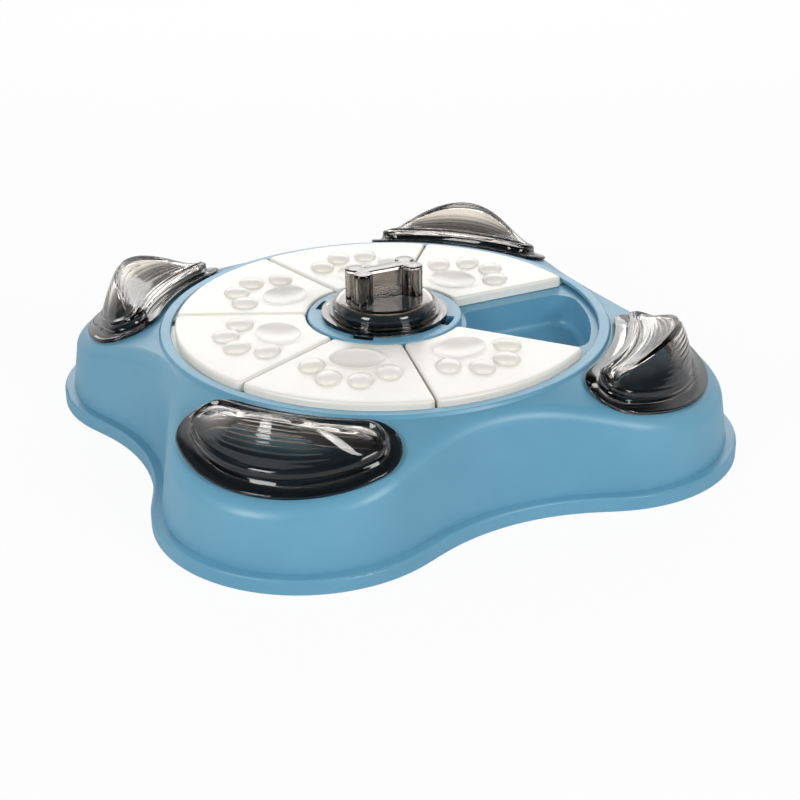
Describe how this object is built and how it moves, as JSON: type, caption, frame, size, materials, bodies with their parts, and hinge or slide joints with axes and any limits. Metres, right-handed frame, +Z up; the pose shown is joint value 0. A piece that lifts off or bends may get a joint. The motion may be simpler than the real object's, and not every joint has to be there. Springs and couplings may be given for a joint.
{
  "type": "dog puzzle feeder toy",
  "caption": "Lobed treat puzzle: round tray of wedge pockets under sliding paw tiles, bayonet knob over a centre cup, lift-off shell-shaped caps on the lobes.",
  "frame": {"origin": "on the ground under the middle of the tile disc", "axes": "+Z up, the lobes lie on the diagonals of X and Y, the free tile place lies just below +X"},
  "size_m": [0.273, 0.273, 0.0755],
  "materials": {
    "casing_blue": "light blue moulded plastic, satin",
    "tile_cream": "cream white moulded plastic, glossy",
    "smoked_plastic": "see-through smoked grey-brown plastic, polished",
    "foot_rubber": "soft dark rubber, matte",
    "screw_steel": "zinc-plated steel"
  },
  "bodies": {
    "base": {"base_shell": "casing_blue", "treat_tray": "casing_blue", "hub_ring": "casing_blue", "tray_screws": "screw_steel", "hub_ring_screws": "screw_steel", "foot_pad_back_right": "foot_rubber", "foot_pad_back_left": "foot_rubber", "foot_pad_front_left": "foot_rubber", "foot_pad_front_right": "foot_rubber"},
    "tile_1": {"paw_tile_1": "tile_cream"},
    "tile_2": {"paw_tile_2": "tile_cream"},
    "tile_3": {"paw_tile_3": "tile_cream"},
    "tile_4": {"paw_tile_4": "tile_cream"},
    "tile_5": {"paw_tile_5": "tile_cream"},
    "tile_6": {"paw_tile_6": "tile_cream"},
    "knob": {"center_knob": "smoked_plastic"},
    "cap_back_right": {"corner_cap_back_right": "smoked_plastic"},
    "cap_back_left": {"corner_cap_back_left": "smoked_plastic"},
    "cap_front_left": {"corner_cap_front_left": "smoked_plastic"},
    "cap_front_right": {"corner_cap_front_right": "smoked_plastic"}
  },
  "joints": [
    {"name": "tile_1_slide", "type": "hinge", "parent": "base", "child": "tile_1", "pos_m": [0, 0, 0.0472], "axis": [0, 0, 1], "continuous": true},
    {"name": "tile_2_slide", "type": "hinge", "parent": "base", "child": "tile_2", "pos_m": [0, 0, 0.0472], "axis": [0, 0, 1], "continuous": true},
    {"name": "tile_3_slide", "type": "hinge", "parent": "base", "child": "tile_3", "pos_m": [0, 0, 0.0472], "axis": [0, 0, 1], "continuous": true},
    {"name": "tile_4_slide", "type": "hinge", "parent": "base", "child": "tile_4", "pos_m": [0, 0, 0.0472], "axis": [0, 0, 1], "continuous": true},
    {"name": "tile_5_slide", "type": "hinge", "parent": "base", "child": "tile_5", "pos_m": [0, 0, 0.0472], "axis": [0, 0, 1], "continuous": true},
    {"name": "tile_6_slide", "type": "hinge", "parent": "tile_1", "child": "tile_6", "pos_m": [0, 0, 0.0472], "axis": [0, 0, 1], "range_deg": [0, 51.43]},
    {"name": "knob_turn", "type": "hinge", "parent": "base", "child": "knob", "pos_m": [0, 0, 0.052], "axis": [0, 0, 1], "range_deg": [0, 40]},
    {"name": "cap_back_right_lift", "type": "slide", "parent": "base", "child": "cap_back_right", "axis": [0, 0, 1], "range_m": [0, 0.05]},
    {"name": "cap_back_left_lift", "type": "slide", "parent": "base", "child": "cap_back_left", "axis": [0, 0, 1], "range_m": [0, 0.05]},
    {"name": "cap_front_left_lift", "type": "slide", "parent": "base", "child": "cap_front_left", "axis": [0, 0, 1], "range_m": [0, 0.05]},
    {"name": "cap_front_right_lift", "type": "slide", "parent": "base", "child": "cap_front_right", "axis": [0, 0, 1], "range_m": [0, 0.05]}
  ],
  "couplings": [
    {"joint": "tile_2_slide", "follows": "tile_1_slide", "ratio": 1},
    {"joint": "tile_3_slide", "follows": "tile_1_slide", "ratio": 1},
    {"joint": "tile_4_slide", "follows": "tile_1_slide", "ratio": 1},
    {"joint": "tile_5_slide", "follows": "tile_1_slide", "ratio": 1}
  ]
}
